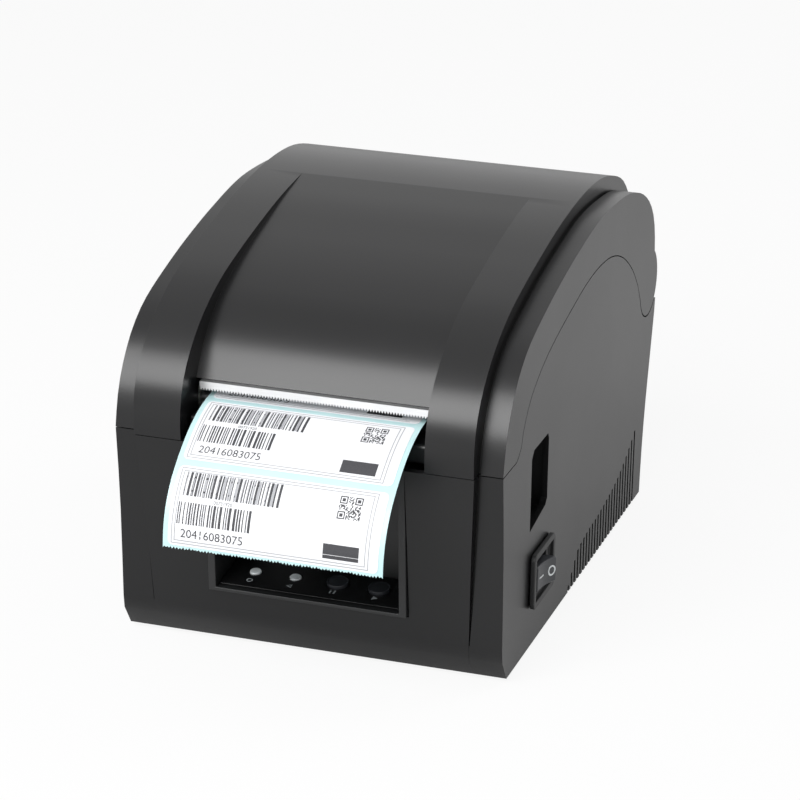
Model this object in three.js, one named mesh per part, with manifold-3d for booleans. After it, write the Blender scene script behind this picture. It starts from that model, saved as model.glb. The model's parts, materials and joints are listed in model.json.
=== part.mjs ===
// Desktop thermal label printer: lower case with media tray, platen drive and latch,
// hinged lid with print head and tear bar, loaded roll of die-cut labels.
// Millimetres, +Z up, front towards -Y. The pieces are placed from the middle of the case
// (x), its front bottom edge (y) and its underside (z); the outer group moves the whole
// machine so that the origin lies under the middle of everything, at the soles of the feet.

import * as THREE from 'three';
import { mergeVertices } from 'three/addons/utils/BufferGeometryUtils.js';
import Module from 'manifold-3d';

// ---- driving dimensions ----
const CASE_HALF = 75;            // outer side of the case
const SHOULDER_HALF = 65.5;      // outer side of the raised shoulders
const PANEL_HALF = 47;           // half width of the sunk middle panel of the lid
const WALL = 2.5;                // moulded wall thickness
const GAP = 0.4;                 // running gap between neighbours
const SEAM_Z = 84;               // seam between lid and base at the front
const FOOT_HEIGHT = 2;
const HINGE = { y: 199.5, z: 93 };
const LOBE_R = 14;               // round rear end of the lid about the hinge
const LABEL_HALF = 41.9;         // liner is 83.8 wide
const ROLL = { y: 112, z: 70, r: 54, core: 14.4, bore: 12.6 };
const PLATEN = { y: 14, z: 90, r: 8, shaft: 2.5 };
const GEAR_MODULE = 1;
const PLATEN_TEETH = 18;
const IDLER_TEETH = 32;
const PINION_TEETH = 12;
const IDLER = { y: 26, z: 68.07 };
const MOTOR = { y: 33.5, z: 47.37 };
const LATCH = { y: 47.5, z: 76 };
const STRIKER = { y: 40, z: 93, r: 2 };
const WINDOW_HALF = 36;          // clear width of the front window, halved
const WINDOW_FLOOR = 22.6;
const LEVER_BAY_LINE = [
  [26, 48.4], [26, 77.4], [28.8, 80.2], [47.6, 80.2], [49, 78], [49, 53.8], [46.8, 51.6],
];
const GROOVE_DEPTH = 1.5;        // of the narrow grooves beside the shoulders and the apron
const SWITCH = { y: 41.2, z: 27, halfY: 14, halfZ: 11, proud: 2.3, corner: 2.5 };
const DECK = { y0: 29.8, y1: 52.8, z0: 18.4, z1: 35.5, x: 75.6 };
const ROCKER_ROOM = 8.9;         // half length of the slot that the rocker swings in
const ROCKER = { x: 71.4, y: 39.5, z: 27.3, half: 7.1, halfZ: 5.05, throw: 27.6 };
const KEY_SLOPE = 0.13;          // rise of the key ledge per millimetre towards the back
const KEY_X = [-25.2, -9.2, 7.6, 24];
const VENT_COUNT = 24;
const VENT_PITCH = 4.35;
const VENT_START = 85.5;
const X_MID = 2.93;              // middle of the machine in x, the rocker included
const Y_MID = 82.95;             // middle in y, the hanging labels included

// ---- outlines seen from the side, as [y, z] ----
const CHEEK_LINE = [
  [-11.8, 84], [-9.8, 94], [-6.3, 102.6], [-1.4, 109.8], [4.3, 116], [11.8, 121.4], [19.7, 125.2],
  [32.8, 129.4], [57.1, 135.6], [87, 141.2], [118.4, 144.8], [151.9, 143.3], [169.8, 140],
  [184, 135.2], [195.7, 128.4], [203, 120.6], [206.3, 112.6], [207.5, 104.5],
];
const SHOULDER_LINE = [
  [-16.9, 84], [-17.3, 93], [-15.2, 103.2], [-10.4, 111.5], [-3.2, 118.8], [5.7, 125.3], [18.1, 131.5],
  [32.5, 136.4], [60, 142.8], [91.2, 148.4], [122.4, 151.2], [148, 150.5], [168, 146.6], [185, 140.4],
  [196.4, 131.4], [203.4, 121.6], [206.3, 112.6], [207.3, 106],
];
const PANEL_LINE = [
  [-1, 103.2], [1.4, 107.2], [4.6, 112], [8.8, 116.8], [14.9, 122.2], [24.1, 128], [38.7, 133.8],
  [53.6, 138.4], [72, 143], [90, 147], [106, 149.6], [119, 151.6],
];
const HUMP_LINE = [
  [7.2, 84.9], [10.6, 87.2], [13.4, 93.6], [19.8, 101], [28.4, 106.6], [41.5, 112.2], [58.5, 116.8],
  [83, 121.8], [98, 124.2], [113, 125.2], [127.9, 124.6], [138.1, 122.9], [148.8, 119.6], [160, 114.2],
  [171.8, 106.1], [180.5, 97.4],
];
const REAR_WALL_LINE = [[198, 0], [199, 14], [200.5, 27], [203, 41], [207, 58], [211.4, 77], [212.4, 96]];
const STRIP_LINE = [
  [-47.4, 54.4], [-46.9, 60.5], [-45.4, 66.6], [-42.8, 72], [-39.2, 77], [-34.5, 81.6], [-28.6, 86.2],
  [-22, 90.4], [-14.5, 93.9], [-6.5, 96.2], [2, 97.4], [9, 98.3], [14, 98.55], [27, 97.6], [38, 96.3],
];
const POST_LINE = [[-11.7, 83.6], [-9.7, 66], [-8.3, 50], [-7.4, 30], [-6.8, 14], [-6, 8.6], [0, 0]];
const APRON_LINE = [[-16.5, 83.6], [-13.8, 66], [-11.4, 50], [-8.9, 30], [-7, 14], [-6.1, 8.6], [0, 0]];
const APRON_SIDE = [[65.5, 83.6], [64.5, 66], [63.6, 50], [62.8, 30], [62.2, 14], [61.8, 0]];
const APRON_GAP = [1.1, 1.15, 1.1, 0.8, 0.3, 0.3];
const VENT_TOP_LINE = [
  [85.5, 2.6], [89.9, 8.4], [94.5, 12.8], [108.7, 15], [124, 15.8], [139.3, 17.5], [155, 20],
  [165.8, 23.5], [173.5, 26.9], [179.1, 29.8], [186, 34.8],
];

// ---- shape helpers ----
const wasm = await Module();
wasm.setup();

const TO_SIDE = new THREE.Matrix4().makeBasis(
  new THREE.Vector3(0, 1, 0), new THREE.Vector3(0, 0, 1), new THREE.Vector3(1, 0, 0));

const rad = (degrees) => degrees * Math.PI / 180;

// A smooth run through [y, z] points, as count + 1 points.
function smooth(line, count) {
  const curve = new THREE.SplineCurve(line.map(([y, z]) => new THREE.Vector2(y, z)));
  return curve.getSpacedPoints(count).map((p) => [p.x, p.y]);
}

// The same line moved sideways; positive is to the right of its direction.
function shifted(line, distance) {
  return line.map((point, i) => {
    const a = line[Math.max(i - 1, 0)];
    const b = line[Math.min(i + 1, line.length - 1)];
    const along = new THREE.Vector2(b[0] - a[0], b[1] - a[1]).normalize();
    return [point[0] + along.y * distance, point[1] - along.x * distance];
  });
}

function arc(center, radius, from, to, count) {
  const points = [];
  for (let i = 0; i <= count; i += 1) {
    const angle = rad(from + (to - from) * i / count);
    points.push([center.y + radius * Math.cos(angle), center.z + radius * Math.sin(angle)]);
  }
  return points;
}

// Extrudes a closed [y, z] outline from x0 to x1.
function prismX(outline, x0, x1) {
  const shape = new THREE.Shape(outline.map(([y, z]) => new THREE.Vector2(y, z)));
  const geometry = new THREE.ExtrudeGeometry(shape, { depth: x1 - x0, bevelEnabled: false });
  return geometry.applyMatrix4(TO_SIDE).translate(x0, 0, 0);
}

// Extrudes a closed [x, z] outline from y0 to y1.
function prismY(outline, y0, y1) {
  const shape = new THREE.Shape(outline.map(([x, z]) => new THREE.Vector2(x, z)));
  const geometry = new THREE.ExtrudeGeometry(shape, { depth: y1 - y0, bevelEnabled: false });
  return geometry.rotateX(Math.PI / 2).translate(0, y1, 0);
}

// Extrudes a closed [x, y] outline from z0 to z1.
function prismZ(outline, z0, z1) {
  const shape = new THREE.Shape(outline.map(([x, y]) => new THREE.Vector2(x, y)));
  const geometry = new THREE.ExtrudeGeometry(shape, { depth: z1 - z0, bevelEnabled: false });
  return geometry.translate(0, 0, z0);
}

function block(x0, x1, y0, y1, z0, z1) {
  const geometry = new THREE.BoxGeometry(x1 - x0, y1 - y0, z1 - z0);
  return geometry.translate((x0 + x1) / 2, (y0 + y1) / 2, (z0 + z1) / 2);
}

function rodX(radius, x0, x1, place, sides = 16) {
  const geometry = new THREE.CylinderGeometry(radius, radius, x1 - x0, sides);
  return geometry.rotateZ(Math.PI / 2).translate((x0 + x1) / 2, place.y, place.z);
}

function rodY(radius, y0, y1, x, z, sides = 16) {
  const geometry = new THREE.CylinderGeometry(radius, radius, y1 - y0, sides);
  return geometry.translate(x, (y0 + y1) / 2, z);
}

function rodZ(radius, z0, z1, x, y, sides = 16) {
  const geometry = new THREE.CylinderGeometry(radius, radius, z1 - z0, sides);
  return geometry.rotateX(Math.PI / 2).translate(x, y, (z0 + z1) / 2);
}

function tubeX(outer, inner, x0, x1, place, sides = 32) {
  const ring = [[inner, x0], [outer, x0], [outer, x1], [inner, x1], [inner, x0]];
  const geometry = new THREE.LatheGeometry(ring.map(([r, h]) => new THREE.Vector2(r, h)), sides);
  return geometry.rotateZ(-Math.PI / 2).translate(0, place.y, place.z);
}

function solid(geometry) {
  const bare = new THREE.BufferGeometry();
  bare.setAttribute('position', geometry.getAttribute('position').clone());
  if (geometry.index) {
    bare.setIndex(geometry.index.clone());
  }
  const merged = mergeVertices(bare, 1e-4);
  const mesh = new wasm.Mesh({
    numProp: 3,
    vertProperties: new Float32Array(merged.getAttribute('position').array),
    triVerts: new Uint32Array(merged.index.array),
  });
  mesh.merge();
  return new wasm.Manifold(mesh);
}

function skin(manifold) {
  const mesh = manifold.getMesh();
  const geometry = new THREE.BufferGeometry();
  geometry.setAttribute('position', new THREE.BufferAttribute(new Float32Array(mesh.vertProperties), 3));
  geometry.setIndex(new THREE.BufferAttribute(new Uint32Array(mesh.triVerts), 1));
  geometry.computeVertexNormals();
  return geometry;
}

const joined = (parts) => parts.map(solid).reduce((sum, next) => sum.add(next));
const carved = (parts, cuts) => cuts.map(solid).reduce((rest, cut) => rest.subtract(cut), joined(parts));
const shaped = (parts, cuts = []) => skin(carved(parts, cuts));

// ---- materials ----
const finish = (color, roughness, metalness = 0) =>
  new THREE.MeshStandardMaterial({ color, roughness, metalness });
const CASE_BLACK = finish('#2b2c2e', 0.55);
const INNER_BLACK = finish('#1d1e20', 0.7);
const STEEL = finish('#b9bcc0', 0.3, 1);
const ZINC = finish('#9a9da1', 0.45, 1);
const ALUMINIUM = finish('#a7aaad', 0.4, 1);
const RUBBER = finish('#17181a', 0.85);
const GEAR_WHITE = finish('#e4e2da', 0.5);
const BOARD_GREEN = finish('#1e5a3a', 0.5);
const KRAFT = finish('#b08a5c', 0.9);
const PAPER = finish('#f3f4f2', 0.7);
const LED_CLEAR = finish('#d4dad8', 0.3);
const KEY_GREY = finish('#3a3c3f', 0.5);

const machine = new THREE.Group();
machine.position.set(-X_MID, -Y_MID, FOOT_HEIGHT);

function fit(name, geometry, material) {
  const mesh = new THREE.Mesh(geometry, material);
  mesh.name = name;
  machine.add(mesh);
}

const SIDES = [['left', -1], ['right', 1]];

// Extent in x of something that lies between two distances from the middle.
const span = (sign, near, far) => (sign > 0 ? [near, far] : [-far, -near]);

// ---- lower case: front with window, side humps, vents, bays for lever, switch and sockets ----
function baseShell() {
  const hump = shifted(smooth(HUMP_LINE, 40), GAP);
  const notch = arc(HINGE, LOBE_R + 0.6, -45, -164, 12);
  const outline = [
    ...POST_LINE, ...smooth(REAR_WALL_LINE.slice(0, 6), 8), [212, 82.6],
    ...notch, ...hump.reverse(), [5, SEAM_Z - GAP],
  ];
  const apron = solid(prismX([...APRON_LINE, [5, 0], [5, SEAM_Z - GAP]], -SHOULDER_HALF, SHOULDER_HALF));
  const leftSide = [...APRON_SIDE].reverse().map(([x, z]) => [-x, z]);
  const face = solid(prismY([...APRON_SIDE, ...leftSide], -30, 6));
  const body = solid(prismX(outline, -CASE_HALF, CASE_HALF)).add(apron.intersect(face));
  const hollow = [
    [-9.2, 90], [-7.2, 66], [-5.8, 50], [-4.7, 30], [-4.2, 12], [2, 2], [2, -5], [195.4, -5],
    ...shifted(smooth(REAR_WALL_LINE.slice(0, 6), 8), -WALL), [209.6, 82], [209.6, 140], [-9.2, 140],
  ];
  const frontHollow = [[-14, 90], [-11.3, 66], [-8.9, 50], [-6.4, 30], [-4.4, 13], [0, 3], [6, 3], [6, 90]];
  const inner = CASE_HALF - WALL;
  const cuts = [
    prismX(hollow, -inner, inner),
    prismX(frontHollow, -SHOULDER_HALF + WALL + 2.5, SHOULDER_HALF - WALL - 2.5),
    block(-WINDOW_HALF - 3.3, WINDOW_HALF + 3.3, -30, 6, WINDOW_FLOOR, 100),
    prismX(LEVER_BAY_LINE, inner - 2, CASE_HALF + 2),
    block(inner - 2, CASE_HALF + 2, SWITCH.y - 12.7, SWITCH.y + 12.7, SWITCH.z - 9.7, SWITCH.z + 9.7),
    rodY(5.6, 190, 205, 38, 13.4, 20),
    block(9.4, 22.6, 190, 205, 6.6, 20),
  ];
  const top = new THREE.SplineCurve(VENT_TOP_LINE.map(([y, z]) => new THREE.Vector2(y, z)));
  for (let i = 0; i < VENT_COUNT; i += 1) {
    const y = VENT_START + i * VENT_PITCH;
    const z = top.getPointAt(i / VENT_COUNT).y;
    SIDES.forEach(([, sign]) => {
      const [x0, x1] = span(sign, inner - 1, CASE_HALF + 1);
      cuts.push(block(x0, x1, y - 0.95, y + 0.95, -1, z));
    });
  }
  let shell = cuts.map(solid).reduce((rest, cut) => rest.subtract(cut), body);
  // The narrow groove between apron and corner post; it runs out above the bottom edge.
  const trough = [[-30, 90], [-30, 13], ...shifted(POST_LINE.slice(0, 5), -GROOVE_DEPTH).reverse(), [-10.2, 90]];
  SIDES.forEach(([, sign]) => {
    const near = APRON_SIDE.slice(0, 5).map(([x, z]) => [sign * x, z]);
    const far = APRON_SIDE.slice(0, 5).map(([x, z], i) => [sign * (x + APRON_GAP[i]), z]);
    const slit = [[near[0][0], 90], ...near, ...far.reverse(), [far[4][0], 90]];
    const tool = solid(prismY(slit, -30, 0)).intersect(solid(prismX(trough, -CASE_HALF, CASE_HALF)));
    shell = shell.subtract(tool);
  });
  // Hinge arms grow from the floor behind the tray and reach back to the hinge axis.
  SIDES.forEach(([, sign]) => {
    const [x0, x1] = span(sign, 58.6, 62);
    const arm = [
      [176, 3], [186, 3], [186, 84], ...arc(HINGE, 7, -100, 90, 10), [181, 100], [176, 95],
    ];
    const [r0, r1] = span(sign, 58.6, inner + 0.5);
    shell = shell.add(solid(prismX(arm, x0, x1)));
    shell = shell.add(solid(block(r0, r1, 179, 181.5, 3, 84)));
    shell = shell.subtract(solid(rodX(2.8, x0 - 1, x1 + 1, HINGE, 12)));
  });
  return skin(shell);
}

fit('base_shell', baseShell(), CASE_BLACK);

const bottomHoles = [[-66, 12], [66, 12], [-66, 184], [66, 184]];
fit('bottom_plate', shaped([block(-71.8, 71.8, 3.2, 194.8, 0.3, 2.3)],
  bottomHoles.map(([x, y]) => rodZ(2.2, -1, 4, x, y, 10))), INNER_BLACK);
bottomHoles.forEach(([x, y], i) => {
  const screw = [[0, -0.4], [3.4, -0.4], [3.4, 0], [1.6, 0], [1.6, 7], [0, 7]];
  const turned = new THREE.LatheGeometry(screw.map(([r, h]) => new THREE.Vector2(r, h)), 10);
  fit(`bottom_screw_${i + 1}`, turned.rotateX(Math.PI / 2).translate(x, y, 0), STEEL);
});
[[-56, 20], [56, 20], [-56, 176], [56, 176]].forEach(([x, y], i) => {
  fit(`rubber_foot_${i + 1}`, rodZ(7, -FOOT_HEIGHT, 0, x, y, 20), RUBBER);
});

// ---- front window: pocket behind the hanging labels, key ledge, lamps, keys ----
const KEY_LEDGE = { y: -6.4, z: 25.5 };
const ledgeTop = (y) => KEY_LEDGE.z + (y - KEY_LEDGE.y) * KEY_SLOPE;
const KEY_Y = 3.4;
const LEDGE_TILT = Math.atan(KEY_SLOPE);
const KEY_R = 4.2;
const LAMP_R = 2.3;

// A stud standing square on the key ledge, its top so far above it.
function ledgeStud(radius, x, above, length, sides = 16) {
  const stud = new THREE.CylinderGeometry(radius, radius, length, sides);
  stud.rotateX(Math.PI / 2).translate(0, 0, above - length / 2);
  return stud.rotateX(LEDGE_TILT).translate(x, KEY_Y, ledgeTop(KEY_Y));
}

function windowPocket() {
  const outside = [
    [-10.2, WINDOW_FLOOR + GAP], [-14.9, SEAM_Z - 1], [4, SEAM_Z - 1], [7, 80.4], [15, 80.4],
    [15, WINDOW_FLOOR + GAP],
  ];
  const inside = [[-30, 24.4], [-30, 95], [13, 95], [13, 24.4]];
  const keyHoles = [2, 3].map((i) => ledgeStud(KEY_R + 0.6, KEY_X[i], 2, 12));
  return shaped([prismX(outside, -WINDOW_HALF - 2.9, WINDOW_HALF + 2.9)],
    [prismX(inside, -WINDOW_HALF, WINDOW_HALF), ...keyHoles]);
}

fit('window_pocket', windowPocket(), INNER_BLACK);

const ledge = [
  [-7.2, 24.8], [-7.2, 25], [KEY_LEDGE.y, KEY_LEDGE.z], [12.6, ledgeTop(12.6)], [12.6, 24.8],
];
const ledgeHoles = KEY_X.map((x, i) => ledgeStud((i < 2 ? LAMP_R : KEY_R) + 0.4, x, 3, 8));
fit('key_ledge', shaped([prismX(ledge, -WINDOW_HALF + GAP, WINDOW_HALF - GAP)], ledgeHoles), CASE_BLACK);
fit('ready_lamp', ledgeStud(LAMP_R, KEY_X[0], 0.5, 1.6), LED_CLEAR);
fit('error_lamp', ledgeStud(LAMP_R, KEY_X[1], 0.5, 1.6), LED_CLEAR);
fit('pause_button', ledgeStud(KEY_R, KEY_X[2], 1.3, 6, 20), KEY_GREY);
fit('feed_button', ledgeStud(KEY_R, KEY_X[3], 1.3, 6, 20), KEY_GREY);
fit('key_board', shaped([
  block(-34, 34, -2, 12, 14, 15.6),
  block(KEY_X[2] - 3, KEY_X[2] + 3, 0.6, 6.6, 15.4, 18.6),
  block(KEY_X[3] - 3, KEY_X[3] + 3, 0.6, 6.6, 15.4, 18.6),
]), BOARD_GREEN);

// ---- label path: exit lip, guide plate with gap sensor, platen, chassis ----
const lip = [
  [-9, SEAM_Z + 0.2], [-9, 90.4], [-8.2, 91.2], [4.4, 91.2], [5.2, 90.4], [5.2, SEAM_Z + 0.2],
];
fit('exit_lip', prismX(lip, -PANEL_HALF + 0.6, PANEL_HALF - 0.6), CASE_BLACK);

const guide = [
  [25, 86], [25, 94.4], [27, 95.8], [35, 95.4], [43, 94.6], [48, 90.6], [48, 86],
];
fit('label_guide', shaped([prismX(guide, -48, 48)], [block(-7, 7, 31, 39, 92, 99)]), INNER_BLACK);
fit('gap_sensor', block(-6.4, 6.4, 31.6, 38.4, 92.4, 95), INNER_BLACK);

function chassis() {
  const cheek = [[6, 2.7], [50, 2.7], [50, 66], [43, 72], [43, 84], [24, 97], [5, 97], [5, 86], [16.6, 78], [16.6, 16], [6, 16]];
  const parts = [block(-53, 53, 17, 50, 2.7, 4.2)];
  const cuts = [];
  SIDES.forEach(([, sign]) => {
    const [x0, x1] = span(sign, 51.5, 53);
    parts.push(prismX(cheek, x0, x1));
    cuts.push(rodX(5.3, x0 - 1, x1 + 1, PLATEN, 20));
  });
  cuts.push(rodX(11.4, -54, -51, MOTOR, 24));
  return shaped(parts, cuts);
}

fit('chassis', chassis(), ZINC);
SIDES.forEach(([side, sign]) => {
  const [x0, x1] = span(sign, 50.6, 54);
  fit(`platen_bush_${side}`, tubeX(5, PLATEN.shaft + 0.1, x0, x1, PLATEN, 20), GEAR_WHITE);
});
fit('platen_shaft', rodX(PLATEN.shaft, -61, 57, PLATEN, 20), STEEL);
fit('platen_roller', tubeX(PLATEN.r, PLATEN.shaft + 0.3, -43, 43, PLATEN, 32), RUBBER);

// ---- gear train on the left side, involute teeth ----
// One flank from the base circle (or root) to the tip, as [radius, angle] from the tooth middle.
function gearOutline(teeth, place, startAngle) {
  const pitch = GEAR_MODULE * teeth / 2;
  const pressure = rad(20);
  const base = pitch * Math.cos(pressure);
  const tip = pitch + GEAR_MODULE * 0.95;
  const root = pitch - GEAR_MODULE * 1.3;
  const backlash = 0.16;
  const involute = (r) => Math.sqrt(Math.max(r * r / (base * base) - 1, 0)) - Math.acos(Math.min(base / r, 1));
  const halfAtPitch = Math.PI / (2 * teeth) - backlash / (2 * pitch);
  const halfAt = (r) => halfAtPitch + involute(pitch) - involute(Math.max(r, base));
  const radii = [root, pitch, tip];
  const outline = [];
  for (let tooth = 0; tooth < teeth; tooth += 1) {
    const middle = startAngle + tooth * 2 * Math.PI / teeth;
    const flank = radii.map((r) => [r, halfAt(r)]);
    const both = [...flank.map(([r, a]) => [r, -a]), ...flank.reverse()];
    both.forEach(([r, a]) => {
      outline.push([place.y + r * Math.cos(middle + a), place.z + r * Math.sin(middle + a)]);
    });
  }
  return outline;
}

// Start angle of a gear that meshes with a neighbour whose tooth stands at the given angle.
function meshAngle(teeth, place, otherTeeth, other, otherStart) {
  const towards = Math.atan2(place.z - other.z, place.y - other.y);
  const share = (towards - otherStart) * otherTeeth / (2 * Math.PI);
  return towards + Math.PI - (0.5 - share) * 2 * Math.PI / teeth;
}

const platenStart = 0;
const idlerStart = meshAngle(IDLER_TEETH, IDLER, PLATEN_TEETH, PLATEN, platenStart);
const pinionStart = meshAngle(PINION_TEETH, MOTOR, IDLER_TEETH, IDLER, idlerStart);
const GEAR_X = [-60, -54.8];

fit('platen_gear', shaped([prismX(gearOutline(PLATEN_TEETH, PLATEN, platenStart), ...GEAR_X)],
  [rodX(PLATEN.shaft + 0.3, -62, -50, PLATEN, 20)]), GEAR_WHITE);
fit('idler_gear', shaped([prismX(gearOutline(IDLER_TEETH, IDLER, idlerStart), ...GEAR_X)],
  [rodX(2.4, -62, -50, IDLER, 16)]), GEAR_WHITE);
fit('idler_post', rodX(2, -60.6, -53.3, IDLER, 16), STEEL);
fit('motor_pinion', shaped([prismX(gearOutline(PINION_TEETH, MOTOR, pinionStart), ...GEAR_X)],
  [rodX(2.3, -62, -50, MOTOR, 16)]), STEEL);
fit('motor_shaft', rodX(2, -60.6, -48.4, MOTOR, 16), STEEL);

function motor() {
  const half = 17.4;
  const cut = 4;
  const plan = [
    [half, half - cut], [half - cut, half], [cut - half, half], [-half, half - cut],
    [-half, cut - half], [cut - half, -half], [half - cut, -half], [half, cut - half],
  ].map(([y, z]) => [MOTOR.y + y, MOTOR.z + z]);
  return shaped([prismX(plan, -51.1, -29), rodX(11, -53, -50, MOTOR, 24)],
    [rodX(2.6, -54, -48, MOTOR, 16)]);
}

fit('stepper_motor', motor(), ZINC);

// ---- media tray and its sliding roll holders ----
function mediaTray() {
  const seat = { y: ROLL.y, z: ROLL.z };
  const inside = [...arc(seat, 57, 180, 360, 28), [169, 92]];
  const outside = [[55, 88], ...arc(seat, 59, 180, 360, 28).slice(1)];
  const wall = 1.8;
  const shell = [[53, 88], [53, 70], ...outside.slice(1), [171, 92], [169, 92],
    ...[...inside].reverse().slice(1), [55, 88]];
  const plate = [[53, 88], [53, 70], ...outside.slice(1), [171, 92]];
  const parts = [prismX(shell, -56, 56)];
  SIDES.forEach(([, sign]) => {
    const [x0, x1] = span(sign, 56 - wall, 56);
    parts.push(prismX(plate, x0, x1));
  });
  return shaped(parts);
}

fit('media_tray', mediaTray(), INNER_BLACK);

SIDES.forEach(([side, sign]) => {
  const [x0, x1] = span(sign, LABEL_HALF + 0.5, LABEL_HALF + 3.5);
  const [h0, h1] = span(sign, LABEL_HALF - 3.6, LABEL_HALF + 1);
  const [f0, f1] = span(sign, LABEL_HALF + 0.5, LABEL_HALF + 5.4);
  const stem = [
    ...arc(ROLL, 21, -40, 220, 22), [ROLL.y - 10, 15], [ROLL.y + 10, 15],
  ];
  fit(`roll_holder_${side}`, shaped([
    prismX(stem, x0, x1),
    rodX(ROLL.bore - 0.6, h0, h1, ROLL, 24),
    block(f0, f1, ROLL.y - 10, ROLL.y + 10, 14.6, 17),
  ]), KEY_GREY);
});
fit('roll_core', tubeX(ROLL.core, ROLL.bore, -LABEL_HALF, LABEL_HALF, ROLL, 32), KRAFT);
fit('label_roll', tubeX(ROLL.r, ROLL.core + 0.3, -LABEL_HALF, LABEL_HALF, ROLL, 64), PAPER);

// The strip leaves the roll at a tangent, runs over the guide and the platen and hangs out in front.
function labelStrip() {
  const [y, z] = STRIP_LINE[STRIP_LINE.length - 1];
  const start = { y, z };
  const reach = Math.hypot(ROLL.y - start.y, ROLL.z - start.z);
  const radius = ROLL.r + 0.5;
  const angle = Math.atan2(ROLL.z - start.z, ROLL.y - start.y) + Math.asin(radius / reach);
  const length = Math.sqrt(reach * reach - radius * radius);
  const end = [start.y + length * Math.cos(angle), start.z + length * Math.sin(angle)];
  const half = [start.y + length * 0.3 * Math.cos(angle), start.z + length * 0.3 * Math.sin(angle)];
  const line = [...smooth([...STRIP_LINE, half], 48), end];
  return prismX([...shifted(line, 0.15), ...shifted(line, -0.15).reverse()], -LABEL_HALF, LABEL_HALF);
}

fit('label_strip', labelStrip(), PAPER);

// ---- electronics ----
fit('control_board', shaped([
  block(-54, 54, 84, 193, 5.2, 6.8),
  block(-40, -20, 100, 120, 6.6, 9),
  block(-6, 4, 128, 138, 6.6, 9.4),
  block(-48, -30, 172, 186, 6.6, 16),
]), BOARD_GREEN);
fit('power_inlet', shaped([block(32.4, 43.6, 184, 195.2, 7.2, 18.2), rodY(5, 195, 199, 38, 13.4, 20)],
  [rodY(3.1, 188, 205, 38, 13.4, 16)]), INNER_BLACK);
fit('data_socket', shaped([block(10, 22, 184, 199, 7.2, 19.4)], [block(11.4, 20.6, 188, 205, 9, 17.6)]), STEEL);

// ---- power switch on the right side ----
function switchHousing() {
  const { y, z, halfY, halfZ, proud, corner } = SWITCH;
  const rim = [[1, 1], [-1, 1], [-1, -1], [1, -1]].flatMap(([side, up], i) => {
    const centre = { y: y + side * (halfY - corner), z: z + up * (halfZ - corner) };
    return arc(centre, corner, i * 90, i * 90 + 90, 3);
  });
  return shaped([
    prismX(rim, CASE_HALF + 0.3, CASE_HALF + proud),
    block(60, CASE_HALF + 1, y - 12.3, y + 12.3, z - 9.3, z + 9.3),
  ], [
    block(DECK.x, CASE_HALF + 5, DECK.y0, DECK.y1, DECK.z0, DECK.z1),
    block(64, CASE_HALF + 5, ROCKER.y - ROCKER_ROOM, ROCKER.y + ROCKER_ROOM,
      ROCKER.z - ROCKER.halfZ - GAP, ROCKER.z + ROCKER.halfZ + GAP),
  ]);
}

fit('switch_housing', switchHousing(), INNER_BLACK);

// The paddle's face is hollowed like a shallow trough; its rear end stands out at rest.
const PADDLE_FACE = [[8, -7.1], [7.42, -4.8], [7.03, -2.4], [6.9, 0], [7.03, 2.4], [7.42, 4.8], [8, 7.1]];
const paddle = [...PADDLE_FACE, [4.6, ROCKER.half], [-2.6, 3], [-2.6, -3], [4.6, -ROCKER.half]];
const rockerShape = prismZ(paddle, -ROCKER.halfZ, ROCKER.halfZ);
rockerShape.rotateZ(rad(-ROCKER.throw / 2)).translate(ROCKER.x, ROCKER.y, ROCKER.z);
fit('power_rocker', rockerShape, KEY_GREY);

// ---- lid latch: shaft across the machine, two catches, side lever in its bay ----
fit('latch_shaft', rodX(2.5, -60, 70.4, LATCH, 16), STEEL);
SIDES.forEach(([side, sign]) => {
  const [x0, x1] = span(sign, 56.6, 59);
  const hook = [
    ...arc(LATCH, 4.8, 160, 370, 12), [50, 88], [49, 96], [46.5, 98.4], [STRIKER.y + STRIKER.r + 0.5, 96.6],
    [STRIKER.y + STRIKER.r + 1, 94.6], [45, 92.6], [45.2, 84],
  ];
  fit(`latch_catch_${side}`, shaped([prismX(hook, x0, x1)], [rodX(2.75, x0 - 1, x1 + 1, LATCH, 16)]), ZINC);
});
const lever = [
  ...arc(LATCH, 4.6, -60, 150, 10), [40, 70], [34, 63.4], [28.4, 62.4], [28.4, 57.6], [35.4, 56.6], [42, 63],
  [46, 69],
];
const leverTab = [
  [28, 58.2], [28.8, 57.2], [35, 56.6], [36.4, 57.8], [36.2, 61], [34.6, 62.4], [29, 62.4], [28, 61.4],
];
fit('release_lever', shaped([prismX(lever, 63, 68), prismX(leverTab, 63, 72.2)],
  [rodX(2.75, 62, 69, LATCH, 16)]), KEY_GREY);
fit('lever_bay', shaped([block(60.4, 72.1, 20.6, 54.8, 47, 83)], [
  block(61.8, 80, 22, 53.4, 48, 81.6),
  rodX(3, 58, 64, LATCH, 16),
]), INNER_BLACK);
SIDES.forEach(([side, sign]) => {
  fit(`hinge_pin_${side}`, rodX(2.4, ...span(sign, 57.4, 71), HINGE, 16), STEEL);
  const [p0, p1] = span(sign, 55.4, 61.6);
  const [b0, b1] = span(sign, 61.2, 63.2);
  const [t0, t1] = span(sign, 61.2, 70);
  const bracket = [[35, 89], [45, 89], [46, 122], [46, 126.4], [34, 123], [35, 110]];
  fit(`lid_striker_${side}`, shaped([
    rodX(STRIKER.r, p0, p1, STRIKER, 14),
    prismX(bracket, b0, b1),
    block(t0, t1, 36, 46, 121, 122.8),
  ]), STEEL);
});

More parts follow.
